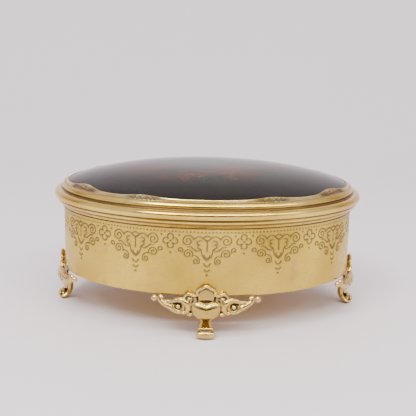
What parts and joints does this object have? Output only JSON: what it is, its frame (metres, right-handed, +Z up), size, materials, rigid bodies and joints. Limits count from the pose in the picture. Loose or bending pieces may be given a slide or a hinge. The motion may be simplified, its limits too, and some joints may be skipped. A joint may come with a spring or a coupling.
{
  "type": "musical jewel box",
  "caption": "Oval gilt music box on four scroll feet, with a hinged enamel lid, a key-wound pinned-cylinder movement under glass and a velvet jewel well.",
  "frame": {"origin": "on the resting plane under the middle of the oval wall", "axes": "+X along the long axis towards the jewel well, +Y towards the hinge, +Z up"},
  "size_m": [0.153, 0.1187, 0.0724],
  "materials": {
    "gilt": "fire-gilt sheet metal, engraved and polished",
    "gilt_cast": "gilt casting with darkened recesses",
    "brass": "brushed movement brass",
    "steel": "polished and blued steel",
    "enamel": "glossy dark enamel",
    "glass": "clear plate glass",
    "velvet": "velvet over card",
    "velvet_pad": "padded velvet"
  },
  "bodies": {
    "case": {"body_shell": "gilt", "base_plate": "gilt", "base_screw_1": "steel", "base_screw_2": "steel", "base_screw_3": "steel", "base_screw_4": "steel", "movement_screw_1": "steel", "movement_screw_2": "steel", "foot_right": "gilt_cast", "foot_back": "gilt_cast", "foot_left": "gilt_cast", "foot_front": "gilt_cast", "deck_plate": "gilt", "window_pane": "glass", "window_frame": "gilt", "well_liner": "velvet", "well_pad": "velvet_pad", "hinge_leaf_case": "gilt", "hinge_pin": "steel", "bedplate": "brass", "bracket_left": "brass", "bracket_right": "brass", "barrel_bridge": "brass", "bridge_screw_1": "steel", "bridge_screw_2": "steel", "comb": "steel", "comb_base": "brass", "comb_screw_1": "steel", "comb_screw_2": "steel", "governor_frame": "brass", "click_screw": "steel", "stop_bracket": "brass", "start_spring": "steel"},
    "lid": {"lid_frame": "gilt", "enamel_plaque": "enamel", "lid_bezel": "gilt", "lid_board": "velvet", "lid_pad": "velvet_pad", "hinge_leaf_lid": "gilt"},
    "key": {"winding_key": "brass", "winding_arbor": "steel", "ratchet_wheel": "steel"},
    "barrel": {"spring_barrel": "brass", "barrel_cover": "brass", "mainspring": "steel"},
    "cylinder": {"cylinder": "brass", "cylinder_arbor": "steel", "cylinder_pinion": "steel", "great_wheel": "brass"},
    "governor": {"governor_arbor": "steel", "worm_wheel": "brass"},
    "fly_arbor": {"worm_arbor": "steel", "fly": "brass"},
    "click": {"click": "steel"},
    "start_stop": {"start_pin": "steel", "brake_arm": "brass"}
  },
  "joints": [
    {"name": "lid_hinge", "type": "hinge", "parent": "case", "child": "lid", "pos_m": [0, 0.0589, 0.0555], "axis": [-1, 0, 0], "range_deg": [0, 100]},
    {"name": "key_turn", "type": "hinge", "parent": "case", "child": "key", "pos_m": [-0.0476, 0, 0.024], "axis": [0, 0, 1], "continuous": true},
    {"name": "cylinder_turn", "type": "hinge", "parent": "case", "child": "cylinder", "pos_m": [-0.0314, 0, 0.03781], "axis": [1, 0, 0], "continuous": true},
    {"name": "barrel_turn", "type": "hinge", "parent": "case", "child": "barrel", "pos_m": [-0.0476, 0, 0.024], "axis": [0, 0, 1], "continuous": true},
    {"name": "governor_turn", "type": "hinge", "parent": "case", "child": "governor", "pos_m": [-0.0073, 0.0091, 0.03277], "axis": [1, 0, 0], "continuous": true},
    {"name": "fly_turn", "type": "hinge", "parent": "case", "child": "fly_arbor", "pos_m": [-0.0067, 0.0153, 0.03277], "axis": [0, 0, 1], "continuous": true},
    {"name": "click_pivot", "type": "hinge", "parent": "case", "child": "click", "pos_m": [-0.0476, 0.0102, 0.033], "axis": [0, 0, -1], "range_deg": [0, 12]},
    {"name": "start_slide", "type": "slide", "parent": "case", "child": "start_stop", "axis": [0, 0, 1], "range_m": [0, 0.0015]}
  ],
  "couplings": [
    {"joint": "barrel_turn", "follows": "cylinder_turn", "ratio": 0.33333},
    {"joint": "governor_turn", "follows": "cylinder_turn", "ratio": -4},
    {"joint": "fly_turn", "follows": "cylinder_turn", "ratio": 80},
    {"joint": "start_slide", "follows": "lid_hinge", "m_per_rad": 0.00085944}
  ]
}
